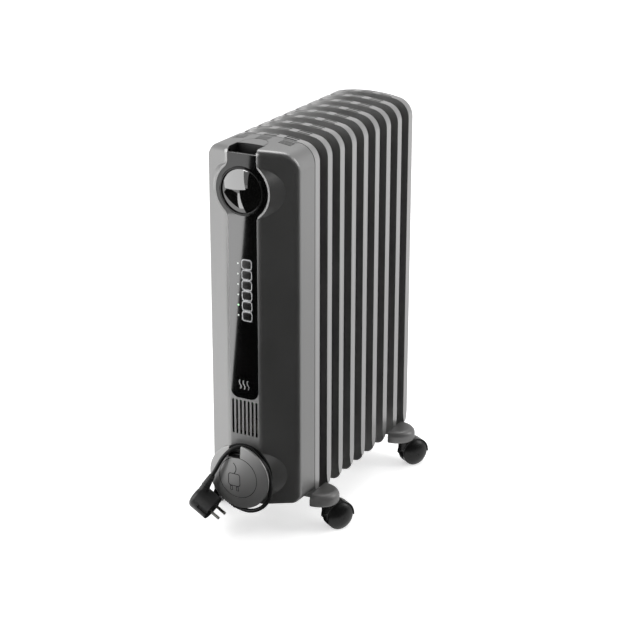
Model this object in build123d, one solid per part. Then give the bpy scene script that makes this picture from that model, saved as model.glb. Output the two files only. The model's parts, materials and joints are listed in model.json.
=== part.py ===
from build123d import *
import os
from math import atan2, cos, pi, radians, sin, sqrt, tan

# Oil filled radiator heater on casters, in millimetres. X runs across the fins,
# Y runs from the control housing (-Y) to the last fin (+Y), and Z is up from the floor.
os.makedirs("parts", exist_ok=True)

# Fins
fin_count = 9
fin_pitch = 40.5
fin_width = 158.0
fin_top = 643.5
fin_bottom = 51.5
fin_corner = 30.0
fin_foot_corner = 16.0
crown_radius = 280.0
rim_depth = 14.4
rim_sheet = 1.2
fin_sheet = 0.6
column_depth = 5.5
manifold_low = 112.0
manifold_high = 583.0
manifold_radius = 25.0
manifold_bore = 17.0

# Where the pieces stand along Y
reel_reach = 116.0
overall_length = reel_reach + (fin_count - 1) * fin_pitch + rim_depth / 2
first_fin_y = reel_reach - overall_length / 2
last_fin_y = first_fin_y + (fin_count - 1) * fin_pitch

# Housing
band_half = 29.0
band_y = first_fin_y - 90.4
corner_y = first_fin_y - 58.3
cover_rear_y = first_fin_y - 8.8
cover_bottom = 67.5
cover_foot_corner = 14.0
cover_wall = 2.8
cover_top_wall = 4.5

# Control strip
strip_half = 24.4
strip_bottom = 244.0
strip_top = 634.0
strip_thickness = 2.0
dial_z = 577.3
dial_surround = 44.5
lens_radius = 33.6
button_x = 7.0
button_top_z = 463.3
button_pitch = 16.6
button_width = 14.6
button_height = 12.2
button_travel = 1.2
button_names = [
    "power_button",
    "mode_button",
    "timer_button",
    "plus_button",
    "minus_button",
    "lock_button",
]

# Cord reel
reel_z = 118.8
reel_radius = 52.5
hub_radius = 23.5
cord_radius = 3.3
coil_outer = 51.4
coil_front = first_fin_y - 106.9
coil_rear = first_fin_y - 92.1

# Feet and casters
foot_offsets = [3.5, 285.0]
strap_offsets = [0.5 * fin_pitch, 7.5 * fin_pitch]
strap_bottom = 48.8
strap_thickness = 2.5
swivel_x = 95.0
trail = 19.8
trail_angle = 33.7
wheel_radius = 23.0
axle_radius = 2.5
stem_radius = 5.0
running_gap = 0.05


def facing_front(y, x=0.0, z=0.0):
    return Plane(origin=(x, y, z), x_dir=(1, 0, 0), z_dir=(0, -1, 0))


def slab(sketch, y_front, depth, x=0.0, z=0.0):
    """A sketch drawn in X and Z, made solid from y_front backwards by depth."""
    return extrude(facing_front(y_front, x, z) * sketch, amount=-depth)


def box(x0, x1, y0, y1, z0, z1):
    middle = Pos((x0 + x1) / 2, (y0 + y1) / 2, (z0 + z1) / 2)
    return middle * Box(x1 - x0, y1 - y0, z1 - z0)


def turned(points, x, z):
    """Points of (radius, y) turned about an axis along Y through x and z."""
    face = make_face(Polyline(*[(r, y, 0) for r, y in points], close=True))
    return Pos(x, 0, z) * revolve(face, axis=Axis.Y)


def radiator_outline(inset, bottom, foot_corner):
    """Crowned top, rounded corners and straight sides, drawn in X and Z."""
    centre_x = fin_width / 2 - fin_corner
    crown_z = fin_top - crown_radius
    centre_z = crown_z + sqrt((crown_radius - fin_corner) ** 2 - centre_x**2)
    stretch = (crown_radius - inset) / (crown_radius - fin_corner)
    shoulder_x = centre_x * stretch
    shoulder_z = crown_z + (centre_z - crown_z) * stretch
    middle = atan2(centre_z - crown_z, centre_x) / 2
    corner = fin_corner - inset
    corner_x = centre_x + corner * cos(middle)
    corner_z = centre_z + corner * sin(middle)
    half = fin_width / 2 - inset
    foot = foot_corner - inset
    foot_x = half - foot
    low = bottom + inset
    knee_x = foot_x + foot * cos(pi / 4)
    knee_z = low + foot - foot * sin(pi / 4)
    edges = [
        Line((-foot_x, low), (foot_x, low)),
        ThreePointArc((foot_x, low), (knee_x, knee_z), (half, low + foot)),
        Line((half, low + foot), (half, centre_z)),
        ThreePointArc((half, centre_z), (corner_x, corner_z), (shoulder_x, shoulder_z)),
        ThreePointArc((shoulder_x, shoulder_z), (0, fin_top - inset), (-shoulder_x, shoulder_z)),
        ThreePointArc((-shoulder_x, shoulder_z), (-corner_x, corner_z), (-half, centre_z)),
        Line((-half, centre_z), (-half, low + foot)),
        ThreePointArc((-half, low + foot), (-knee_x, knee_z), (-foot_x, low)),
    ]
    return make_face(edges)


def column_sketch(inset):
    """The pressed oil channels: four columns joined by a header at each end."""
    height = 546.0 - 2 * inset
    sketch = Pos(0, 345) * RectangleRounded(118 - 2 * inset, height, 24 - inset)
    for x in (-29, 0, 29):
        sketch -= Pos(x, 345) * SlotOverall(400 + 2 * inset, 10 + 2 * inset, rotation=90)
    return sketch


def channel_block(inset):
    block = slab(column_sketch(inset), -column_depth + inset, column_depth - inset)
    if inset == 0.0:
        edges = block.faces().sort_by(Axis.Y)[0].edges()
        block = fillet(edges, 1.6)
    return block


def rim_half():
    """The folded edge that stands forward of a half fin, tapered off near the floor."""
    ring = radiator_outline(0, fin_bottom, fin_foot_corner)
    ring -= radiator_outline(rim_sheet, fin_bottom, fin_foot_corner)
    rim = slab(ring, -rim_depth / 2, rim_depth / 2)
    tip_z = fin_bottom + 12
    reach = rim_depth / 2
    side = Polyline(
        (0.1, tip_z),
        (-0.3 * reach, tip_z),
        (-0.75 * reach, tip_z + 7),
        (-1.1 * reach, tip_z + 24),
        (-1.1 * reach, fin_top + 1),
        (0.1, fin_top + 1),
        close=True,
    )
    return rim & extrude(Plane.YZ * make_face(side), amount=fin_width, both=True)


def half_fin(hubs, bore_low):
    """The front half of a fin about y = 0. The rear half is its mirror image."""
    shell = slab(radiator_outline(0.3, fin_bottom, fin_foot_corner), -fin_sheet, fin_sheet)
    shell += rim_half()
    shell += channel_block(0.0)
    if hubs:
        for z in (manifold_low, manifold_high):
            shell += slab(Circle(manifold_radius), -fin_pitch / 2, fin_pitch / 2, z=z)
    shell -= channel_block(fin_sheet)
    for z in (manifold_low, manifold_high):
        if hubs:
            cavity = fin_pitch / 2 - 0.8
            shell -= slab(Circle(manifold_radius - 0.8), -cavity, cavity, z=z)
            shell -= slab(Circle(manifold_bore), -fin_pitch, fin_pitch, z=z)
    if bore_low:
        shell -= slab(Circle(manifold_bore), -fin_pitch, fin_pitch, z=manifold_low)
    for x in (-35, 0, 35):
        slot = Plane.XY.offset(fin_top - 12) * Pos(x, -rim_depth / 4 - 0.3) * SlotOverall(23, 4.4)
        shell -= extrude(slot, amount=14)
    return shell


def save(shape, name):
    export_step(shape, "parts/" + name + ".step")


def group(shapes):
    return Compound(children=list(shapes))


# Fins: each is two pressed halves seam welded along their flat margin
inner_half = half_fin(True, False)
front_end_half = half_fin(False, True)
rear_end_half = half_fin(False, False)
filler_radius = 5.0
rear_end_half -= slab(Circle(filler_radius), -fin_pitch, fin_pitch, z=manifold_high)
for number in range(1, fin_count + 1):
    front_half = front_end_half if number == 1 else inner_half
    rear_half = rear_end_half if number == fin_count else inner_half
    y = first_fin_y + (number - 1) * fin_pitch
    halves = [Pos(0, y, 0) * front_half, Pos(0, y, 0) * mirror(rear_half, Plane.XZ)]
    save(group(halves), "fin_" + str(number))

element_rear = last_fin_y - 60
element_front = first_fin_y - 24

# Two hairpin heating elements, carried by a threaded flange
hairpins = []
for x in (-8, 8):
    low = (x, element_front, manifold_low - 8)
    low_end = (x, element_rear - 8, manifold_low - 8)
    top_end = (x, element_rear - 8, manifold_low + 8)
    top = (x, element_front, manifold_low + 8)
    path = Wire([Line(low, low_end), ThreePointArc(low_end, (x, element_rear, manifold_low), top_end),
                 Line(top_end, top)])
    hairpins.append(sweep(Plane(origin=low, z_dir=(0, 1, 0)) * Circle(4), path=path))
save(group(hairpins), "heating_element")

flange_y = first_fin_y - column_depth
flange = slab(Circle(manifold_radius - 2), flange_y - 5, 5, z=manifold_low)
flange += slab(RegularPolygon(18, 6), flange_y - 10, 5, z=manifold_low)
flange += slab(Circle(manifold_bore - 0.1), flange_y, 2.4, z=manifold_low)
for x in (-8, 8):
    for z in (-8, 8):
        flange -= slab(Circle(4.05), flange_y - 12, 20, x, manifold_low + z)
save(flange, "element_flange")

filler = slab(Circle(filler_radius - 0.05), last_fin_y + column_depth - 1.4, 1.4, z=manifold_high)
filler += slab(Circle(8), last_fin_y + column_depth, 1.5, z=manifold_high)
save(filler, "filler_plug")


# Control housing
def cover_plan(inset):
    """The housing from above: flat band, two facets sloping back, straight sides."""
    slope = atan2(corner_y - band_y, fin_width / 2 - band_half)
    half = fin_width / 2 - inset
    front = band_y + inset
    band = band_half - inset * tan(slope / 2)
    side_y = front + (half - band) * tan(slope)
    points = [
        (-half, cover_rear_y),
        (-half, side_y),
        (-band, front),
        (band, front),
        (half, side_y),
        (half, cover_rear_y),
    ]
    face = make_face(Polyline(*points, close=True))
    sides = [v for v in face.vertices() if abs(v.Y - side_y) < 0.01]
    face = fillet(sides, 14 - inset)
    fronts = [v for v in face.vertices() if abs(v.Y - front) < 0.01]
    return fillet(fronts, 14 - inset)


def cover_block(outline_inset, plan_inset):
    tall = slab(radiator_outline(outline_inset, cover_bottom, cover_foot_corner), band_y - 5, 120)
    return tall & extrude(cover_plan(plan_inset), amount=fin_top + 10)


def front_rim(block):
    """The edges where the front of the housing meets its top, bottom and rounded sides."""
    chosen = []
    for edge in block.edges():
        size = edge.bounding_box().size
        middle = edge @ 0.5
        vertical = size.Z > 100
        along_y = size.X < 0.01 and size.Z < 0.01
        at_rear = middle.Y > cover_rear_y - 0.1
        if not vertical and not along_y and not at_rear:
            chosen.append(edge)
    return chosen


def strip_sketch(grow):
    width = 2 * (strip_half + grow)
    height = strip_top - strip_bottom + 2 * grow
    middle = (strip_top + strip_bottom) / 2
    sketch = Pos(0, middle) * Rectangle(width, height)
    low = [v for v in sketch.vertices() if v.Y < middle]
    sketch = fillet(low, 14 + grow)
    sketch += Pos(0, dial_z) * Circle(dial_surround + grow)
    necks = [v for v in sketch.vertices() if abs(v.Y - dial_z) < 45 and abs(v.X) < 26]
    return fillet(necks, 16)


solid_cover = cover_block(0, 0)
rim_edges = front_rim(solid_cover)
solid_cover = fillet([e for e in rim_edges if (e @ 0.5).Z > fin_top / 2], 9.5)
rim_edges = front_rim(solid_cover)
solid_cover = fillet([e for e in rim_edges if (e @ 0.5).Z < cover_bottom + 20], 7)
collar_y = band_y - 0.4
collar_depth = 26.0
collar_limit = slab(radiator_outline(0.5, cover_bottom, cover_foot_corner), band_y - 5, 60)
for z in (dial_z, reel_z):
    profile = [(0, collar_y), (48, collar_y), (65.5, collar_y + collar_depth), (0, collar_y + collar_depth)]
    solid_cover += turned(profile, 0, z) & collar_limit
cover = solid_cover - cover_block(cover_top_wall, cover_wall)

# Bosses for the back plate's screws
screw_places = [(x, z) for x in (-69, 69) for z in (95, 350, 600)]
screw_radius = 1.9
plate_y = cover_rear_y - 1.0
for x, z in screw_places:
    cover += slab(Circle(6.5), plate_y - 24, 24, x, z) & solid_cover
    cover -= slab(Circle(screw_radius + 0.05), plate_y - 18, 20, x, z)

# Recess for the control strip, and the openings behind it
strip_face = band_y - 0.6
strip_back = strip_face + strip_thickness
cover -= slab(strip_sketch(0.4), band_y - 12, 12 + strip_back - band_y + 0.1)
cover -= slab(Circle(31), band_y - 5, 12, z=dial_z)
button_zs = [button_top_z - i * button_pitch for i in range(len(button_names))]
button_middle = (button_zs[0] + button_zs[-1]) / 2
cover -= slab(Rectangle(30, 104), band_y - 5, 12, 4, button_middle)

# Grip recess in the top front edge, with its own liner
grip_front = band_y + 4.2
grip_rear = first_fin_y - 62.0
grip_floor = 616.0
grip_lip = strip_top + 0.4
grip_half = strip_half
grip_wall = 1.5
cover -= box(-grip_half, grip_half, grip_front, grip_rear, grip_floor, fin_top + 5)
cover -= box(-grip_half, grip_half, band_y - 5, grip_front, grip_lip, fin_top + 5)
liner_half = grip_half - 0.1
liner = box(-liner_half, liner_half, grip_front + 0.1, grip_rear - 0.1, grip_floor, fin_top + 5)
liner -= box(-liner_half + grip_wall, liner_half - grip_wall, grip_front + 0.1 + grip_wall,
             grip_rear - 0.1 - grip_wall, grip_floor + grip_wall, fin_top + 6)
liner -= box(-50, 50, grip_front - 1, grip_front + 0.1 + 2 * grip_wall, grip_lip, fin_top + 6)
save(liner & solid_cover, "grip_liner")

# Outline of the tab behind the grip, and the slots in the top
tab = Pos(0, grip_rear + 3) * Rectangle(44, 10) + Pos(0, grip_rear + 8) * Circle(22)
tab_ring = tab - offset(tab, -1.0)
top_skin = cover_block(0.7, 0)
cover -= extrude(Plane.XY.offset(fin_top - 12) * (tab_ring & Pos(0, grip_rear + 26) * Rectangle(60, 50)),
                 amount=20) - top_skin
for x in (-40, 0, 40):
    for row in range(4):
        slot = Pos(x, first_fin_y - 32 + row * 4.6) * SlotOverall(22, 2.4)
        cover -= extrude(Plane.XY.offset(fin_top - 16) * slot, amount=20)
    slot = Pos(x - 1, first_fin_y - 12.5) * SlotOverall(25, 1.8)
    cover -= extrude(Plane.XY.offset(fin_top - 16) * slot, amount=20)

# Vent slots under the strip
vent_count = 7
vent_pitch = 6.95
for i in range(vent_count):
    x = (i - (vent_count - 1) / 2) * vent_pitch
    cover -= slab(SlotOverall(58, 3.6, rotation=90), band_y - 5, 12, x, 211.3)

# The hole that the cord's gland passes through
gland_x = -44.0
gland_z = 80.0
gland_radius = 6.5
cover -= slab(Circle(gland_radius + 0.1), band_y - 10, 40, gland_x, gland_z)
save(cover, "front_cover")

# Steel back plate and its screws
plate = slab(radiator_outline(cover_top_wall + 0.3, cover_bottom, cover_foot_corner), plate_y, 1.0)
plate -= slab(Circle(24), plate_y - 1, 3, z=manifold_low)
for x, z in screw_places:
    plate -= slab(Circle(screw_radius + 0.1), plate_y - 1, 3, x, z)
save(plate, "back_plate")
screws = []
for x, z in screw_places:
    head = slab(Circle(3.4), cover_rear_y, 1.0, x, z)
    screws.append(head + slab(Circle(screw_radius), plate_y - 15, 16, x, z))
save(group(screws), "cover_screws")

# Control strip, dial and display
strip = slab(strip_sketch(0), strip_face, strip_thickness)
bezel_radius = 38.2
strip -= slab(Circle(bezel_radius + 0.15), band_y - 5, 12, z=dial_z)
button_hole = RectangleRounded(button_width + 0.6, button_height + 0.6, 3.3)
led_x = -8.5
led_radius = 1.4
for z in button_zs:
    strip -= slab(button_hole, band_y - 5, 12, button_x, z)
    strip -= slab(Circle(led_radius + 0.05), band_y - 5, 12, led_x, z)
save(strip, "control_strip")

bezel = turned([
    (lens_radius + 0.2, strip_back),
    (lens_radius + 0.2, band_y - 1.6),
    (lens_radius + 1.2, band_y - 3.0),
    (bezel_radius - 1.6, band_y - 3.0),
    (bezel_radius, band_y - 1.2),
    (bezel_radius, strip_back),
], 0, dial_z)
save(bezel, "dial_bezel")

lens_rim_y = band_y - 1.4
lens_apex_y = band_y - 7.6
lens_sag = lens_rim_y - lens_apex_y
lens_curve = (lens_radius**2 + lens_sag**2) / (2 * lens_sag)
lens = slab(Circle(lens_radius), band_y - 12, 12 + strip_back - band_y, z=dial_z)
lens &= Pos(0, lens_apex_y + lens_curve, dial_z) * Sphere(lens_curve)
save(lens, "dial_lens")

display = slab(Circle(29.5), band_y + 2.9, 5, z=dial_z)
display += slab(Rectangle(30, 16), band_y + 1.9, 1.0, z=dial_z)
save(display, "display_module")

# Push buttons, each with a flange behind the strip and a stem on its switch
flange_front = strip_back + 0.1
board_y = band_y + 12.0
for name, z in zip(button_names, button_zs):
    cap = slab(RectangleRounded(button_width, button_height, 3), band_y - 1.7, 3.3, button_x, z)
    front_face = cap.faces().sort_by(Axis.Y)[0]
    cap = fillet(front_face.edges(), 0.9)
    flange_plan = RectangleRounded(button_width + 1.8, button_height + 2.4, 2)
    cap += slab(flange_plan, flange_front, 1.2, button_x, z)
    cap += slab(Circle(1.8), flange_front + 1.2, 2.2, button_x, z)
    save(cap, name)

frame_outer = Sketch()
for z in button_zs:
    frame_outer += Pos(button_x, z) * RectangleRounded(button_width + 3.6, button_pitch - 0.2, 4.5)
frame_outer += Pos(button_x, button_middle) * Rectangle(4, button_zs[0] - button_zs[-1])
for z in button_zs:
    frame_outer -= Pos(button_x, z) * button_hole
save(slab(frame_outer, strip_face - 0.5, 0.5), "button_frame")

pipes = [slab(Circle(led_radius), strip_face - 0.1, board_y - strip_face - 1, led_x, z) for z in button_zs]
save(group(pipes), "indicator_pipes")

board = slab(Rectangle(36, 190), board_y, 1.6, z=button_middle)
for z in button_zs:
    board += slab(Rectangle(6, 6), board_y - 5.4, 5.4, button_x, z)
board += slab(Rectangle(20, 12), board_y + 1.6, 9, z=button_middle - 70)
save(board, "control_board")

# Three rising heat waves in place of a badge
waves = []
for x in (-7, 0, 7):
    low = ThreePointArc((x, -7), (x + 1.7, -3.5), (x, 0))
    high = ThreePointArc((x, 0), (x - 1.7, 3.5), (x, 7))
    waves.append(slab(trace([low, high], 1.8), strip_face - 0.6, 0.6, z=267))
save(group(waves), "heat_mark")

# Power board, switches and terminals inside the housing
power = slab(Rectangle(96, 150), first_fin_y - 44, 1.6, z=290)
relays = [(-26, 330, 22, 28, 16), (8, 330, 20, 28, 16)]
supply_blocks = [(32, 255, 24, 34, 22), (-18, 250, 30, 22, 12)]
for x, z, width, height, depth in relays + supply_blocks:
    power += slab(Rectangle(width, height), first_fin_y - 44 - depth, depth, x, z)
for x in (-42, 42):
    for z in (222, 358):
        power += slab(Circle(3), first_fin_y - 42.4, 42.4 - 9.9, x, z)
save(power, "power_board")

cutout = slab(Circle(8), plate_y - 7, 7, 0, 500) + slab(Rectangle(30, 6), plate_y - 1.2, 1.2, 0, 500)
for x in (-4, 4):
    cutout += slab(Rectangle(1, 6), plate_y - 15, 8, x, 500)
save(cutout, "thermal_cutout")

tilt = slab(Rectangle(26, 30), plate_y - 20, 20, 40, 165) + slab(Rectangle(6, 1), plate_y - 28, 8, 40, 172)
save(tilt, "tilt_switch")

terminals = slab(Rectangle(44, 16), plate_y - 18, 18, -34, 165)
for i in range(4):
    terminals -= slab(Circle(2.2), plate_y - 20, 12, -34 + (i - 1.5) * 10, 165)
save(terminals, "terminal_block")

# Cord reel: a fixed hub and a domed disc that hold the wound cord
disc_back = coil_front - 1.7
hub = turned([(0, collar_y), (hub_radius, collar_y), (hub_radius, disc_back), (0, disc_back)], 0, reel_z)
hub += turned([(0, collar_y), (48.5, collar_y), (48.0, collar_y - 1.2), (0, collar_y - 1.2)], 0, reel_z)
save(hub, "reel_hub")

disc_front = first_fin_y - reel_reach
disc_rim_front = disc_front + 4.6
disc_sag = disc_rim_front - disc_front
disc_curve = (reel_radius**2 + disc_sag**2) / (2 * disc_sag)
disc = slab(Circle(reel_radius), disc_front - 1, disc_back - disc_front + 1, z=reel_z)
disc &= Pos(0, disc_front + disc_curve, reel_z) * Sphere(disc_curve)
disc = fillet(disc.edges().filter_by(lambda e: abs((e @ 0.5).Y - disc_rim_front) < 0.2), 1.2)
engraving = Circle(34) - Circle(33)
socket_body = Pos(-6, -4) * RectangleRounded(22, 22, 5)
socket_body -= Pos(-6, -4) * RectangleRounded(19.4, 19.4, 3.8)
for x in (-11.5, -0.5):
    socket_body += Pos(x, -19) * (RectangleRounded(4.6, 8, 1) - RectangleRounded(2.2, 6, 0.5))
lead_mark = ThreePointArc((-6, 7), (-2.5, 15), (-8, 24))
engraving += socket_body + trace(lead_mark, 1.4)
groove_depth = 0.7
groove = slab(engraving, disc_front - 1, 12, z=reel_z)
groove -= Pos(0, disc_front + disc_curve, reel_z) * Sphere(disc_curve - groove_depth)
disc -= groove
notch_x = -6.5
notch_half = 10.5
notch = Pos(notch_x, 60) * Rectangle(2 * notch_half, 60)
notch += Pos(notch_x, 34.5 + notch_half) * Circle(notch_half)
disc -= slab(notch & Pos(0, 65) * Rectangle(80, 64), disc_front - 2, 14, z=reel_z)
save(disc, "reel_disc")

# Gland with its tapered strain relief, lying behind the disc
relief_y = first_fin_y - 99.0
cord_exit = Vector(-12.4, relief_y, 60.5)
gland_tip = Vector(gland_x, relief_y, gland_z)
gland = slab(Circle(gland_radius), relief_y - 6, 32, gland_x, gland_z)
gland += slab(Circle(9), relief_y + 26, 3, gland_x, gland_z)
relief_length = (cord_exit - gland_tip).length
relief_plane = Plane(origin=gland_tip, z_dir=cord_exit - gland_tip)
gland += loft([relief_plane * Circle(5.6), relief_plane.offset(relief_length) * Circle(cord_radius + 0.5)])
save(gland, "cable_gland")


def tube(points, name):
    """A plain round tube along straight runs joined by arcs as large as the runs allow."""
    points = [Vector(*p) for p in points]
    radii = []
    for before, at, after in zip(points, points[1:], points[2:]):
        turn = radians((at - before).get_angle(after - at))
        shorter = min((at - before).length, (after - at).length)
        radii.append(0.45 * shorter / tan(turn / 2))
    path = FilletPolyline(*points, radius=radii)
    solid = sweep(Plane(origin=path @ 0, z_dir=path % 0) * Circle(cord_radius), path=path)
    print(name, "radii", [round(r, 1) for r in radii], "length", round(path.length, 1),
          "volume ratio", round(solid.volume / (pi * cord_radius**2 * path.length), 4))
    save(solid, name)


# Cord: from the gland up into the winding, then out through the notch to the plug
lead_route = [
    (-12.4, first_fin_y - 99.0, 60.5),
    (2.2, first_fin_y - 98.5, 56.3),
    (19.4, first_fin_y - 98.0, 59.1),
    (34.1, first_fin_y - 97.5, 68.2),
    (44.4, first_fin_y - 97.0, 81.5),
    (48.6, first_fin_y - 96.3, 97.0),
    (47.5, first_fin_y - 95.8, 113.0),
]
tube(lead_route, "cord_lead")

coil = slab(Circle(coil_outer) - Circle(hub_radius + 0.2), coil_front, coil_rear - coil_front, z=reel_z)
save(coil, "cord_coil")

tail_route = [
    (22.0, first_fin_y - 99.0, 160.3),
    (10.3, first_fin_y - 101.5, 167.2),
    (-1.7, first_fin_y - 107.2, 168.6),
    (-12.5, first_fin_y - 114.3, 164.0),
    (-20.3, first_fin_y - 119.7, 155.0),
    (-26.5, first_fin_y - 123.8, 144.0),
    (-32.0, first_fin_y - 126.3, 131.9),
    (-38.5, first_fin_y - 127.0, 120.5),
]
tube(tail_route, "cord_tail")

# Plug: X of its own frame is the pins' direction and Y runs on along the cord
plug_lean = radians(30.5)
pin_way = Vector(cos(plug_lean), 0, -sin(plug_lean))
plug_frame = Plane(origin=tail_route[-1], x_dir=pin_way, z_dir=(0, 1, 0))
head_y = 50.0
head_radius = 20.5
head_back = -7.0
pin_face = 29.5
pin_radius = 2.4
pin_length = 19.0
pin_half_gap = 9.5
head = Rot(0, 90, 0) * Cylinder(head_radius, pin_face - head_back)
head = Pos((head_back + pin_face) / 2, head_y, 0) * head
head = fillet(head.edges().filter_by(lambda e: abs((e @ 0.5).X - head_back) < 0.1), 7)
relief_cone = Pos(0, 17, 0) * Rot(-90, 0, 0) * Cone(cord_radius + 0.6, 7.6, 34)
plug = head + relief_cone
for side in (-1, 1):
    plug -= Pos(pin_face - 9, head_y, side * head_radius) * Box(20, 6, 5)
save(plug_frame * plug, "plug_body")
pins = []
for side in (-1, 1):
    pin = Rot(0, 90, 0) * Cylinder(pin_radius, pin_length)
    pin = Pos(pin_face + pin_length / 2, head_y, side * pin_half_gap) * pin
    pin = fillet(pin.edges().filter_by(lambda e: (e @ 0.5).X > pin_face + pin_length - 0.1), 1.2)
    pins.append(plug_frame * pin)
save(group(pins), "plug_pins")


# Feet: a steel strap under the fins with a moulded cap at each end
def foot_cap(side, y):
    face_x = fin_width / 2 + 0.6
    plan = Ellipse(34.5, 30.5) & Pos(30, 0) * Rectangle(60, 80)
    cap = extrude(Pos(face_x, y, strap_bottom) * plan, amount=21.4)
    round_top = [e for e in cap.edges() if (e @ 0.5).X > face_x + 1 and (e @ 0.5).Z > strap_bottom + 20]
    cap = fillet(round_top, 10)
    round_low = [e for e in cap.edges() if (e @ 0.5).X > face_x + 20 and (e @ 0.5).Z < strap_bottom + 1]
    cap = fillet(round_low, 5)
    cap -= Pos(swivel_x, y, strap_bottom + 8) * Cylinder(stem_radius + running_gap, 18)
    return cap if side > 0 else mirror(cap, Plane.YZ)


caps = []
bolts = []
for foot_name, foot_offset, strap_offset in zip(("front", "rear"), foot_offsets, strap_offsets):
    foot_y = first_fin_y + foot_offset
    strap_y = first_fin_y + strap_offset
    strap_end = fin_width / 2 + 9
    strap_top = strap_bottom + strap_thickness
    strap = box(-strap_end, strap_end, strap_y - 11, strap_y + 11, strap_bottom, strap_top)
    bolt_x = manifold_radius + 2.7
    for x in (-bolt_x, bolt_x):
        strap -= Pos(x, strap_y, strap_bottom) * Cylinder(2.8, 10)
    save(strap, foot_name + "_strap")
    pocket = box(-strap_end - 0.1, strap_end + 0.1, strap_y - 11.1, strap_y + 11.1,
                 strap_bottom - 1, strap_bottom + strap_thickness + 0.1)
    for side in (-1, 1):
        caps.append(foot_cap(side, foot_y) - pocket)
    legs = Wire([
        Line((-bolt_x, strap_y, 40), (-bolt_x, strap_y, manifold_low)),
        ThreePointArc((-bolt_x, strap_y, manifold_low), (0, strap_y, manifold_low + bolt_x),
                      (bolt_x, strap_y, manifold_low)),
        Line((bolt_x, strap_y, manifold_low), (bolt_x, strap_y, 40)),
    ])
    bolts.append(sweep(Plane(origin=(-bolt_x, strap_y, 40), z_dir=(0, 0, 1)) * Circle(2.5), path=legs))
    for x in (-bolt_x, bolt_x):
        nut = Pos(x, strap_y, 46) * Cylinder(5, 5.4)
        nut += Pos(x, strap_y, 45.2) * Box(20, 2, 7)
        bolts.append(nut - Pos(x, strap_y, 46) * Cylinder(2.52, 20))
save(group(caps), "foot_caps")
save(group(bolts), "foot_clamps")


# Casters: a hooded fork on a stem, and twin domed wheels on its axle
def across(radius, width):
    return Rot(0, 90, 0) * Cylinder(radius, width)


def caster_fork():
    top_z = strap_bottom - wheel_radius - 0.5
    hood = across(25.3, 19) - across(23.8, 20)
    hood += across(24.5, 4.8)
    hood &= Pos(0, 0, 24) * Box(60, 60, 52)
    hood += across(11, 4.8)
    neck = Pos(0, -trail, (8 + top_z) / 2) * Cylinder(8.5, top_z - 8)
    for side in (-1, 1):
        neck -= Pos(side * 12.4, 0, 0) * across(23.8, 20)
    fork = hood + neck
    fork += Pos(0, -trail, top_z + 8) * Cylinder(stem_radius, 16.5)
    fork += across(axle_radius, 34.4)
    return fork


def caster_wheel(side):
    inner = 2.7
    bore = axle_radius + running_gap
    face = make_face([
        Line((inner, bore), (inner, wheel_radius - 0.8)),
        Line((inner, wheel_radius - 0.8), (inner + 0.8, wheel_radius)),
        Line((inner + 0.8, wheel_radius), (9.0, wheel_radius)),
        Line((9.0, wheel_radius), (10.4, wheel_radius - 1.2)),
        ThreePointArc((10.4, wheel_radius - 1.2), (15.6, 12.5), (17.6, bore)),
        Line((17.6, bore), (inner, bore)),
    ])
    wheel = revolve(face, axis=Axis.X)
    return wheel if side > 0 else mirror(wheel, Plane.YZ)


fork = caster_fork()
for foot_name, foot_offset in zip(("front", "rear"), foot_offsets):
    for side_name, side in (("left", -1), ("right", 1)):
        seat = Pos(side * swivel_x, first_fin_y + foot_offset, wheel_radius)
        seat = seat * Rot(0, 0, -side * trail_angle) * Pos(0, trail, 0)
        stem = "caster_" + foot_name + "_" + side_name
        save(seat * fork, stem + "_fork")
        save(seat * caster_wheel(-1), stem + "_wheel_a")
        save(seat * caster_wheel(1), stem + "_wheel_b")
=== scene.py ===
import json
import math
import bmesh
import bpy
from mathutils import Matrix, Vector


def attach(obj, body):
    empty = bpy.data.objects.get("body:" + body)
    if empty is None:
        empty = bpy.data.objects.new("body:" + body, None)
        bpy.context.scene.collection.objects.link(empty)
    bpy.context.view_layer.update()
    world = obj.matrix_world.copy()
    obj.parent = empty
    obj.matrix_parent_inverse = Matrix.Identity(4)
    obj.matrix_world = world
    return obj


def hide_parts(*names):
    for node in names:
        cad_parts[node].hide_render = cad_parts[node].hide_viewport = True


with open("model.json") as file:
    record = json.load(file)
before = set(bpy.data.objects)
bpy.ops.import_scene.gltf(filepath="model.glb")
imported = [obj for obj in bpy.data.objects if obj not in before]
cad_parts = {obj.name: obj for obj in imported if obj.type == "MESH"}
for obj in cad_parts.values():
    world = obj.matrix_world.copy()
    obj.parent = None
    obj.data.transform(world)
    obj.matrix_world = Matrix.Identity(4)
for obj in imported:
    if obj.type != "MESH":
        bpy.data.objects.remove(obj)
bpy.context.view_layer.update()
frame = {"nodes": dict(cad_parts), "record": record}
parts = frame["nodes"]
print("frame loaded:", len(parts), "parts")

# Camera, from the right and above
cameraSettings = {"place": (1.3292, -2.4410, 1.3362), "turn": 28.43, "tilt": 19.97, "lens": 105.96,
                  "sensor": 36}


def addCamera(settings):
    turn = math.radians(settings["turn"])
    tilt = math.radians(settings["tilt"])
    ahead = Vector((-math.sin(turn) * math.cos(tilt), math.cos(turn) * math.cos(tilt), -math.sin(tilt)))
    data = bpy.data.cameras.new("camera")
    data.lens = settings["lens"]
    data.sensor_width = settings["sensor"]
    camera = bpy.data.objects.new("camera", data)
    camera.location = settings["place"]
    camera.rotation_mode = "QUATERNION"
    camera.rotation_quaternion = ahead.to_track_quat("-Z", "Y")
    bpy.context.scene.collection.objects.link(camera)
    bpy.context.scene.camera = camera


addCamera(cameraSettings)
print("camera placed")


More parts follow.
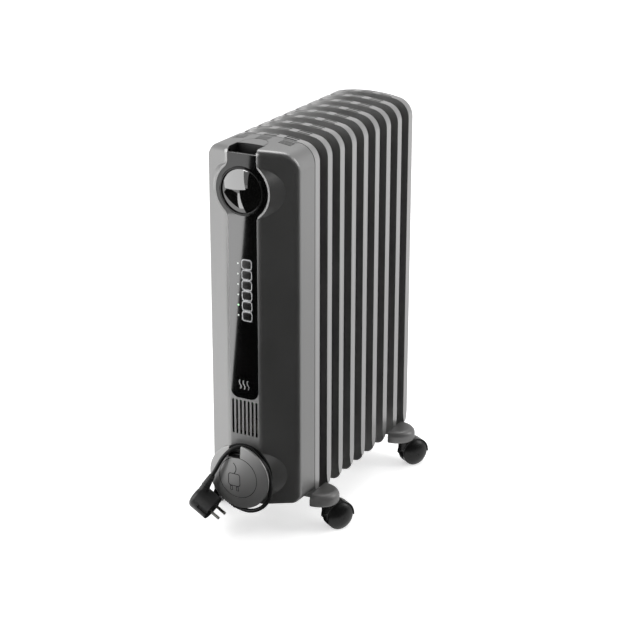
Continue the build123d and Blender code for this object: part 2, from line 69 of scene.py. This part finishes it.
# Shader maths: wraps a socket so that + - * and < build Math nodes
class Wire:
    def __init__(self, paint, socket):
        self.paint = paint
        self.socket = socket

    def maths(self, operation, *values):
        return self.paint.add("ShaderNodeMath", {"operation": operation}, dict(enumerate(values)))

    def __add__(self, other):
        return self.maths("ADD", self, other)

    def __sub__(self, other):
        return self.maths("SUBTRACT", self, other)

    def __rsub__(self, other):
        return self.maths("SUBTRACT", other, self)

    def __mul__(self, other):
        return self.maths("MULTIPLY", self, other)

    def __lt__(self, other):
        return self.maths("LESS_THAN", self, other)

    def __gt__(self, other):
        return self.maths("GREATER_THAN", self, other)

    __radd__ = __add__
    __rmul__ = __mul__

    def abs(self):
        return self.maths("ABSOLUTE", self)


class Paint:
    def __init__(self, name):
        self.material = bpy.data.materials.new(name)
        self.material.use_nodes = True
        self.tree = self.material.node_tree
        self.tree.nodes.clear()
        self.shader = self.tree.nodes.new("ShaderNodeBsdfPrincipled")
        output = self.tree.nodes.new("ShaderNodeOutputMaterial")
        self.tree.links.new(self.shader.outputs[0], output.inputs[0])

    def add(self, kind, settings=None, values=None, out=0):
        node = self.tree.nodes.new(kind)
        for key, value in (settings or {}).items():
            setattr(node, key, value)
        for key, value in (values or {}).items():
            self.feed(node.inputs[key], value)
        return Wire(self, node.outputs[out])

    def feed(self, socket, value):
        if isinstance(value, Wire):
            self.tree.links.new(value.socket, socket)
        else:
            socket.default_value = value

    def set(self, values):
        for key, value in values.items():
            self.feed(self.shader.inputs[key], value)

    def place(self):
        return self.add("ShaderNodeTexCoord", out=3)

    def axes(self, vector):
        split = self.add("ShaderNodeSeparateXYZ", values={0: vector})
        return [Wire(self, output) for output in split.socket.node.outputs]

    def stretch(self, vector, scale):
        return self.add("ShaderNodeVectorMath", {"operation": "MULTIPLY"}, {0: vector, 1: scale})

    def noise(self, vector, scale, detail):
        return self.add("ShaderNodeTexNoise", values={"Vector": vector, "Scale": scale, "Detail": detail})

    def spots(self, vector, scale):
        return self.add("ShaderNodeTexVoronoi", values={"Vector": vector, "Scale": scale})

    def range(self, value, low, high, start=0.0, end=1.0):
        return self.add("ShaderNodeMapRange", values={"Value": value, "From Min": low, "From Max": high,
                                                      "To Min": start, "To Max": end})

    # Noise lies mostly between 0.3 and 0.7, which this stretches to the whole span
    def spread(self, noise, start=0.0, end=1.0):
        return self.range(noise, 0.3, 0.7, start, end)

    def mix(self, factor, first, second):
        return self.add("ShaderNodeMix", {"data_type": "RGBA"}, {0: factor, 6: first, 7: second}, out=2)

    def bump(self, height, distance, strength=1.0, normal=None):
        values = {"Height": height, "Distance": distance, "Strength": strength}
        if normal is not None:
            values["Normal"] = normal
        return self.add("ShaderNodeBump", values=values)


def grey(level, warm=0.0):
    return (level * (1 + warm), level, level * (1 - warm), 1)


finishes = {}


def finish(slot):
    def keep(make):
        finishes[slot] = make(Paint(slot))
        return make
    return keep


# Sprayed silver-grey enamel: faint orange peel, metal flake, cloudy gloss, and a little dust low down.
# These are what every enamelled piece shares
enamelSettings = {"darker": 0.95, "lighter": 1.05, "warm": 0.004, "glossier": 0.04, "duller": 0.05,
                  "peelStrength": 0.6, "speckEdge": 0.3, "speckDepth": 0.00002, "speckStrength": 0.3,
                  "dustFrom": 0.03, "dustTo": 0.2, "dustColour": (0.32, 0.31, 0.29, 1), "dustRough": 0.3,
                  "markLevel": 0.01, "markRough": 0.3}
finSettings = {**enamelSettings, "base": 0.38, "rough": 0.34, "metal": 0.91, "dust": 0.12,
               "cloudScale": 14.0, "peelScale": 420.0, "peelDepth": 0.00004, "speckScale": 2400.0}
coverSettings = {**enamelSettings, "base": 0.26, "rough": 0.36, "metal": 0.91, "dust": 0.1,
                 "cloudScale": 9.0, "peelScale": 900.0, "peelDepth": 0.00003, "speckScale": 3200.0}
capSettings = {**coverSettings, "base": 0.16, "rough": 0.42, "metal": 0.7}
# The disc's dome is part of a ball, so anything further in than its skin is the engraving
reelSettings = {**coverSettings, "base": 0.33, "rough": 0.40,
                "ball": (0, 0.0783, 0.1188), "skin": 0.30165, "flat": 0.0505}


# A mark is where the finish is cut into, and is dark and dull
def enamel(paint, settings, mark=None):
    place = paint.place()
    cloud = paint.noise(place, settings["cloudScale"], 4)
    peel = paint.noise(place, settings["peelScale"], 2)
    speck = paint.spots(place, settings["speckScale"])
    height = paint.axes(place)[2]
    dust = (paint.range(height, settings["dustFrom"], settings["dustTo"], settings["dust"], 0.0)
            * paint.range(cloud, 0.35, 0.65))
    colour = paint.mix(paint.spread(cloud), grey(settings["base"] * settings["darker"], settings["warm"]),
                       grey(settings["base"] * settings["lighter"], settings["warm"]))
    colour = paint.mix(dust, colour, settings["dustColour"])
    rough = (paint.spread(cloud, settings["rough"] - settings["glossier"],
                          settings["rough"] + settings["duller"])
             + dust * settings["dustRough"])
    fine = paint.range(speck, 0.0, settings["speckEdge"])
    flake = settings["metal"]
    if mark is not None:
        colour = paint.mix(mark, colour, grey(settings["markLevel"]))
        rough = rough + mark * settings["markRough"]
        flake = (1 - mark) * flake
    paint.set({"Base Color": colour, "Roughness": rough, "Metallic": flake})
    first = paint.bump(peel, settings["peelDepth"], settings["peelStrength"])
    paint.set({"Normal": paint.bump(fine, settings["speckDepth"], settings["speckStrength"], first)})
    return paint.material


@finish("fin_enamel")
def finEnamel(paint):
    return enamel(paint, finSettings)


@finish("housing_plastic")
def housingPaint(paint):
    return enamel(paint, coverSettings)


@finish("reel_plastic")
def reelPaint(paint):
    offset = paint.add("ShaderNodeVectorMath", {"operation": "SUBTRACT"},
                       {0: paint.place(), 1: reelSettings["ball"]})
    depth = paint.add("ShaderNodeVectorMath", {"operation": "LENGTH"}, {0: offset}, out=1)
    flat = paint.add("ShaderNodeVectorMath", {"operation": "LENGTH"},
                     {0: paint.stretch(offset, (1, 0, 1))}, out=1)
    groove = (depth < reelSettings["skin"]) * (flat < reelSettings["flat"])
    return enamel(paint, reelSettings, groove)


@finish("cap_plastic")
def capPaint(paint):
    return enamel(paint, capSettings)


# Black enamel, gloss black or moulded black. Level is how dark, grain and depth are its texture,
# swirl is how far fine haze dulls the gloss, and bend is the refractive index
blackSettings = {"cloudScale": 30, "hazeScale": 140, "hazeStretch": (1, 1, 6), "darker": 0.85,
                 "lighter": 1.25, "warm": 0.01, "glossier": 0.85, "duller": 1.15, "grainStrength": 0.5}
blacks = {
    "dark_steel": dict(level=0.03, rough=0.42, grain=600, depth=0.00008, swirl=0.0, bend=1.5),
    "strip_gloss": dict(level=0.002, rough=0.02, grain=60, depth=0.000002, swirl=0.015, bend=1.75),
    "bezel_gloss": dict(level=0.003, rough=0.07, grain=80, depth=0.000004, swirl=0.03, bend=1.5),
    "button_gloss": dict(level=0.003, rough=0.06, grain=90, depth=0.000004, swirl=0.03, bend=1.6),
    "lens_gloss": dict(level=0.003, rough=0.03, grain=50, depth=0.000002, swirl=0.02, bend=2.0),
    "black_plastic": dict(level=0.008, rough=0.45, grain=1500, depth=0.00006, swirl=0.0, bend=1.4),
    "gland_rubber": dict(level=0.008, rough=0.5, grain=1100, depth=0.00006, swirl=0.0, bend=1.35),
    "plug_rubber": dict(level=0.016, rough=0.40, grain=1300, depth=0.00005, swirl=0.0, bend=1.45),
    "caster_hood": dict(level=0.005, rough=0.24, grain=800, depth=0.00003, swirl=0.06, bend=1.38),
    "caster_wheel": dict(level=0.005, rough=0.27, grain=700, depth=0.00003, swirl=0.08, bend=1.38),
}


def black(paint, level, rough, grain, depth, swirl, bend):
    place = paint.place()
    cloud = paint.noise(place, blackSettings["cloudScale"], 3)
    texture = paint.noise(place, grain, 2)
    haze = paint.noise(paint.stretch(place, blackSettings["hazeStretch"]), blackSettings["hazeScale"], 4)
    colour = paint.mix(paint.spread(cloud), grey(level * blackSettings["darker"]),
                       grey(level * blackSettings["lighter"], blackSettings["warm"]))
    gloss = paint.spread(cloud, rough * blackSettings["glossier"], rough * blackSettings["duller"])
    paint.set({"Base Color": colour, "IOR": bend, "Roughness": gloss + haze * swirl})
    paint.set({"Normal": paint.bump(texture, depth, blackSettings["grainStrength"])})
    return paint.material


for slot, facts in blacks.items():
    finishes[slot] = black(Paint(slot), **facts)

# Lead: satin PVC with a fine drawn skin
cordSettings = {"level": 0.007, "darker": 0.8, "lighter": 1.4, "warm": 0.02, "bend": 1.38, "cloudScale": 40,
                "grain": 900, "grainDepth": 0.00004, "grainStrength": 0.5, "gloss": (0.33, 0.47)}


@finish("cord_sheath")
def cordSheath(paint):
    place = paint.place()
    skin = paint.noise(place, cordSettings["grain"], 3)
    cloud = paint.noise(place, cordSettings["cloudScale"], 3)
    colour = paint.mix(paint.spread(cloud), grey(cordSettings["level"] * cordSettings["darker"]),
                       grey(cordSettings["level"] * cordSettings["lighter"], cordSettings["warm"]))
    paint.set({"Base Color": colour, "Roughness": paint.spread(skin, *cordSettings["gloss"]),
               "IOR": cordSettings["bend"]})
    paint.set({"Normal": paint.bump(skin, cordSettings["grainDepth"], cordSettings["grainStrength"])})
    return paint.material


# Bright metals, drawn or plated, with fine lines along the part and a few stains
metalSettings = {"stainScale": 60, "stain": 0.78, "glossier": 0.8, "duller": 1.3, "lineStrength": 0.4}
metals = {
    "silver_trim": dict(colour=(0.40, 0.40, 0.41), rough=0.20, lines=900, depth=0.00001, along=(1, 1, 0.03)),
    "pin_nickel": dict(colour=(0.80, 0.78, 0.73), rough=0.30, lines=1500, depth=0.00001, along=(0.05, 1, 1)),
    "zinc_steel": dict(colour=(0.62, 0.62, 0.64), rough=0.33, lines=500, depth=0.00004, along=(1, 1, 0.03)),
    "element_steel": dict(colour=(0.46, 0.44, 0.41), rough=0.36, lines=700, depth=0.00004,
                          along=(1, 0.03, 1)),
}


def metal(paint, colour, rough, lines, depth, along):
    place = paint.place()
    streak = paint.noise(paint.stretch(place, along), lines, 3)
    stain = paint.noise(place, metalSettings["stainScale"], 4)
    stained = tuple(c * metalSettings["stain"] for c in colour)
    gloss = paint.spread(streak, rough * metalSettings["glossier"], rough * metalSettings["duller"])
    paint.set({"Base Color": paint.mix(paint.range(stain, 0.35, 0.7), (*colour, 1), (*stained, 1)),
               "Metallic": 1.0, "Roughness": gloss})
    paint.set({"Normal": paint.bump(streak, depth, metalSettings["lineStrength"])})
    return paint.material


for slot, facts in metals.items():
    finishes[slot] = metal(Paint(slot), **facts)

# Unlit display behind its window, with the faint grid of its dots
displaySettings = {"dotScale": 2600, "levels": (0.010, 0.022), "rough": 0.12, "dotDepth": 0.00001,
                   "strength": 0.3}


@finish("display")
def displayGlass(paint):
    dots = paint.noise(paint.place(), displaySettings["dotScale"], 1)
    dark, pale = displaySettings["levels"]
    paint.set({"Base Color": paint.mix(paint.range(dots, 0.4, 0.6), grey(dark), grey(pale)),
               "Roughness": displaySettings["rough"]})
    paint.set({"Normal": paint.bump(dots, displaySettings["dotDepth"], displaySettings["strength"])})
    return paint.material


# Milky light pipes: the fifth button's light, at litHeight, is on
lightSettings = {"litHeight": 0.3969, "litReach": 0.004, "glow": (0.10, 0.75, 0.16, 1), "milkScale": 500,
                 "milk": ((0.55, 0.58, 0.55, 1), (0.72, 0.76, 0.72, 1)), "gloss": (0.25, 0.4),
                 "milkDepth": 0.00002, "strength": 0.4}


@finish("light_pipe")
def lightPipe(paint):
    place = paint.place()
    milk = paint.noise(place, lightSettings["milkScale"], 2)
    lit = (paint.axes(place)[2] - lightSettings["litHeight"]).abs() < lightSettings["litReach"]
    paint.set({"Emission Color": paint.mix(lit, grey(0.0), lightSettings["glow"]), "Emission Strength": 1.0})
    paint.set({"Base Color": paint.mix(milk, *lightSettings["milk"]),
               "Roughness": paint.spread(milk, *lightSettings["gloss"])})
    paint.set({"Normal": paint.bump(milk, lightSettings["milkDepth"], lightSettings["strength"])})
    return paint.material


# Circuit board: copper tracks show lighter through the green
boardSettings = {"trackScale": 180, "trackStretch": (1, 0.1, 1), "trackDepth": 0.00005, "strength": 0.5,
                 "green": (0.015, 0.09, 0.035, 1), "track": (0.03, 0.16, 0.06, 1), "gloss": (0.32, 0.22)}


@finish("circuit_board")
def circuitBoard(paint):
    drawn = paint.stretch(paint.place(), boardSettings["trackStretch"])
    track = paint.range(paint.spots(drawn, boardSettings["trackScale"]), 0.35, 0.4)
    paint.set({"Base Color": paint.mix(track, boardSettings["green"], boardSettings["track"]),
               "Roughness": paint.range(track, 0, 1, *boardSettings["gloss"])})
    paint.set({"Normal": paint.bump(track, boardSettings["trackDepth"], boardSettings["strength"])})
    return paint.material


# Unpainted moulding inside the housing
innerSettings = {"grainScale": 900, "colours": ((0.60, 0.57, 0.48, 1), (0.68, 0.65, 0.56, 1)),
                 "gloss": (0.42, 0.55), "grainDepth": 0.00006, "strength": 0.5}


@finish("inner_plastic")
def innerPlastic(paint):
    grain = paint.noise(paint.place(), innerSettings["grainScale"], 2)
    paint.set({"Base Color": paint.mix(grain, *innerSettings["colours"]),
               "Roughness": paint.spread(grain, *innerSettings["gloss"])})
    paint.set({"Normal": paint.bump(grain, innerSettings["grainDepth"], innerSettings["strength"])})
    return paint.material


slotOf = {piece["node"]: piece["material_slot"] for piece in frame["record"]["subparts"]}
for name, part in parts.items():
    part.data.materials.clear()
    part.data.materials.append(finishes[slotOf[name]])
print("finishes given:", len(finishes))

# Lead: one line from the gland, round the reel on two layers, out of the notch to the plug.
# Ease widens the turns a little, because the smooth line cuts inside its own points
leadSettings = {"radius": 0.0033, "length": 1.59, "perTurn": 16, "reelHeight": 0.1188, "ease": 1.0185,
                "smooth": 6, "sides": 4}
leadStart = [(-0.0124, -0.2066, 0.0605), (0.0022, -0.2061, 0.0563), (0.0194, -0.2056, 0.0591),
             (0.0341, -0.2051, 0.0682), (0.0444, -0.2046, 0.0815), (0.0486, -0.2039, 0.0970),
             (0.0475, -0.2034, 0.1130)]
leadEnd = [(0.0220, -0.2066, 0.1603), (0.0103, -0.2091, 0.1672), (-0.0017, -0.2148, 0.1686),
           (-0.0125, -0.2219, 0.1640), (-0.0203, -0.2273, 0.1550), (-0.0265, -0.2314, 0.1440),
           (-0.0320, -0.2339, 0.1319), (-0.0385, -0.2346, 0.1205)]
# Angle round the reel, radius and depth where the winding changes
windings = [(-7, 0.0479, -0.2032), (62, 0.0410, -0.2032), (353, 0.0410, -0.2032), (422, 0.0342, -0.2032),
            (713, 0.0342, -0.2032), (782, 0.0274, -0.2032), (1030, 0.0273, -0.2032), (1130, 0.0272, -0.2110),
            (2190, 0.0469, -0.2110), (2222, 0.0470, -0.2066)]


def windingAt(angle):
    for (first, radius, y), (last, nextRadius, nextY) in zip(windings, windings[1:]):
        if angle <= last:
            share = (angle - first) / (last - first)
            return radius + (nextRadius - radius) * share, y + (nextY - y) * share


def leadPoints():
    points = list(leadStart)
    step = 360 / leadSettings["perTurn"]
    angle = windings[0][0] + step
    while angle < windings[-1][0] - step / 2:
        radius, y = windingAt(angle)
        radius *= leadSettings["ease"]
        turn = math.radians(angle)
        points.append((radius * math.cos(turn), y, leadSettings["reelHeight"] + radius * math.sin(turn)))
        angle += step
    return points + leadEnd


def link(name, data, slot, body):
    piece = bpy.data.objects.new(name, data)
    bpy.context.scene.collection.objects.link(piece)
    piece.data.materials.append(finishes[slot])
    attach(piece, body)
    return piece


def addLead():
    curve = bpy.data.curves.new("mains_lead", "CURVE")
    curve.dimensions = "3D"
    spline = curve.splines.new("NURBS")
    points = leadPoints()
    spline.points.add(len(points) - 1)
    for spot, point in zip(spline.points, points):
        spot.co = (*point, 1)
    # The order is set after the points, or it stays at straight runs
    spline.order_u = 3
    spline.use_endpoint_u = True
    spline.resolution_u = leadSettings["smooth"]
    curve.bevel_depth = leadSettings["radius"]
    curve.bevel_resolution = leadSettings["sides"]
    curve.use_fill_caps = True
    lead = link("mains_lead", curve, "cord_sheath", "heater")
    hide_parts("cord_lead", "cord_coil", "cord_tail")
    return lead


mainsLead = addLead()
print("lead wound")


# Ribbed sleeves on the plug's relief and the gland's: start, way, radius there, radius at the far end,
# length and slot
sleeves = {
    "plug_ribs": ((-0.0385, -0.2346, 0.1205), (-0.5075, 0, -0.8616), 0.0039, 0.0076, 0.034, "plug_rubber"),
    "gland_ribs": ((-0.0124, -0.2066, 0.0605), (-0.8510, 0, 0.5252), 0.0038, 0.0056, 0.0371, "gland_rubber"),
}
# Each rib stands proud of the cone and its foot sinks into it; reach is how much of the length is ribbed
ribSettings = {"pitch": 0.0042, "half": 0.0010, "foot": 1.5, "stand": 0.0007, "sink": 0.0005, "from": 0.003,
               "reach": 0.72, "steps": 40, "softWidth": 0.0003, "softSteps": 2}


def addSleeve(name, start, way, thin, thick, length, slot):
    shape = bmesh.new()
    line = []
    along = ribSettings["from"]
    half = ribSettings["half"]
    foot = half * ribSettings["foot"]
    while along < length * ribSettings["reach"]:
        radius = thin + (thick - thin) * along / length
        for shift, lift in ((-foot, -ribSettings["sink"]), (-half, ribSettings["stand"]),
                            (half, ribSettings["stand"]), (foot, -ribSettings["sink"])):
            line.append(shape.verts.new((radius + lift, 0, along + shift)))
        along += ribSettings["pitch"]
    edges = [shape.edges.new(pair) for pair in zip(line, line[1:])]
    bmesh.ops.spin(shape, geom=line + edges, cent=(0, 0, 0), axis=(0, 0, 1), angle=math.tau,
                   steps=ribSettings["steps"], use_merge=True)
    bmesh.ops.remove_doubles(shape, verts=shape.verts, dist=1e-6)
    rims = [edge for edge in shape.edges if edge.is_boundary]
    bmesh.ops.holes_fill(shape, edges=rims)
    turn = Vector(way).to_track_quat("Z", "Y").to_matrix().to_4x4()
    bmesh.ops.transform(shape, matrix=Matrix.Translation(start) @ turn, verts=shape.verts)
    bmesh.ops.recalc_face_normals(shape, faces=shape.faces)
    mesh = bpy.data.meshes.new(name)
    shape.to_mesh(mesh)
    shape.free()
    piece = link(name, mesh, slot, "heater")
    soften = piece.modifiers.new("soften", "BEVEL")
    soften.width = ribSettings["softWidth"]
    soften.segments = ribSettings["softSteps"]
    return piece


ribs = [addSleeve(name, *facts) for name, facts in sleeves.items()]
print("sleeves ribbed")

# Floor, backdrop and studio lights
studioSettings = {"world": 0.78, "floorSize": 12, "floorLevels": (0.88, 0.90), "floorRough": 0.9,
                  "floorGlow": 0.5, "surround": 20}


# Makes a stage object from a shape, unseen by the kinds of ray that hidden names
def addStage(name, shape, material, hidden=()):
    mesh = bpy.data.meshes.new(name)
    shape.to_mesh(mesh)
    shape.free()
    mesh.materials.append(material)
    thing = bpy.data.objects.new(name, mesh)
    bpy.context.scene.collection.objects.link(thing)
    for ray in hidden:
        setattr(thing, "visible_" + ray, False)


def addFloor():
    paint = Paint("studioFloor")
    dark, pale = studioSettings["floorLevels"]
    paint.set({"Base Color": paint.mix(paint.noise(paint.place(), 3, 2), grey(dark), grey(pale)),
               "Roughness": studioSettings["floorRough"]})
    paint.set({"Emission Color": grey(1.0), "Emission Strength": studioSettings["floorGlow"]})
    shape = bmesh.new()
    bmesh.ops.create_grid(shape, x_segments=1, y_segments=1, size=studioSettings["floorSize"])
    addStage("floor", shape, paint.material)


# A plain white surround that is seen but gives no light
def addBackdrop():
    paint = Paint("studioBackdrop")
    paint.set({"Base Color": grey(0.0), "Specular IOR Level": 0.0})
    paint.set({"Emission Color": grey(1.0), "Emission Strength": 1.0})
    shape = bmesh.new()
    bmesh.ops.create_icosphere(shape, subdivisions=3, radius=studioSettings["surround"])
    addStage("backdrop", shape, paint.material, ("diffuse", "glossy", "shadow", "transmission"))


def addWorld():
    world = bpy.data.worlds.new("studio")
    bpy.context.scene.world = world
    world.use_nodes = True
    background = world.node_tree.nodes["Background"]
    background.inputs[0].default_value = grey(1.0)
    background.inputs[1].default_value = studioSettings["world"]


# Cards that show only in reflections: glow and corners. A glow of 0 makes a black card
cards = {
    "darkFloor": (0, [(-0.316, -0.681, 0.002), (-0.075, -0.202, 0.002), (-0.075, 0.225, 0.002),
                      (0.075, 0.225, 0.002), (0.1, -0.17, 0.002), (3.5, 1.7, 0.002),
                      (3.5, -4.2, 0.002), (-2.27, -4.2, 0.002)]),
    "darkWall": (0, [(-0.7, -3.2, 0.0), (3.6, -3.2, 0.0), (3.6, -3.2, 2.8), (-0.7, -3.2, 2.8)]),
    "darkSide": (0, [(3.5, -3.2, 0.0), (3.5, 1.7, 0.0), (3.5, 1.7, 1.6), (3.5, -3.2, 2.8)]),
    "darkCeiling": (0, [(-0.7, -3.2, 2.8), (3.6, -3.2, 2.8), (3.6, 0.3, 3.0), (-0.7, 0.3, 3.0)]),
    "nearSide": (0.92, [(0.1, -0.16, 0.002), (1.3, 0.4, 0.002), (1.0, 1.3, 0.002), (0.1, 0.9, 0.002)]),
    "farSide": (1.1, [(1.3, 0.4, 0.002), (3.5, 1.7, 0.002), (2.6, 3.6, 0.002), (0.1, 3.6, 0.002),
                      (0.1, 0.9, 0.002), (1.0, 1.3, 0.002)]),
    "lowGlow": (3.8, [(-0.316, -0.681, 0.003), (-0.896, -1.725, 0.003), (-1.01, -1.665, 0.003),
                      (-0.43, -0.621, 0.003)]),
    "leftFloor": (0, [(-0.43, -0.621, 0.002), (-1.01, -1.665, 0.002), (-2.4, -1.9, 0.002),
                      (-1.5, -0.75, 0.002)]),
    "lensGlow": (4.0, [(-0.585, -2.1, 0.21), (-0.97, -1.95, 1.97), (-2.2, -0.9, 2.3), (-1.9, -1.1, 0.05)]),
}


def addCard(name, glow, corners):
    paint = Paint(name)
    paint.set({"Base Color": grey(0.0), "Roughness": 1.0, "Specular IOR Level": 0.0})
    paint.set({"Emission Color": grey(1.0), "Emission Strength": glow})
    shape = bmesh.new()
    shape.faces.new([shape.verts.new(corner) for corner in corners])
    addStage(name, shape, paint.material, ("camera", "diffuse", "shadow", "transmission"))


# Area lights: place, target, width, height and power
lights = {
    "top": ((-0.3, 0.6, 2.6), (0, 0, 0.3), 1.8, 1.8, 25),
    "side": ((2.3, 1.2, 1.5), (0, 0, 0.35), 0.9, 1.4, 16),
    "fill": ((-0.6, -1.9, 1.5), (0, -0.2, 0.1), 0.5, 0.5, 7),
}


def addLight(name, place, target, width, height, power):
    data = bpy.data.lights.new(name, "AREA")
    data.shape = "RECTANGLE"
    data.size = width
    data.size_y = height
    data.energy = power
    lamp = bpy.data.objects.new(name, data)
    lamp.location = place
    lamp.rotation_mode = "QUATERNION"
    lamp.rotation_quaternion = (Vector(target) - Vector(place)).to_track_quat("-Z", "Y")
    bpy.context.scene.collection.objects.link(lamp)


addFloor()
addBackdrop()
addWorld()
for name, (glow, corners) in cards.items():
    addCard(name, glow, corners)
for name, facts in lights.items():
    addLight(name, *facts)
print("studio lit")

bpy.context.scene.view_settings.view_transform = "Standard"
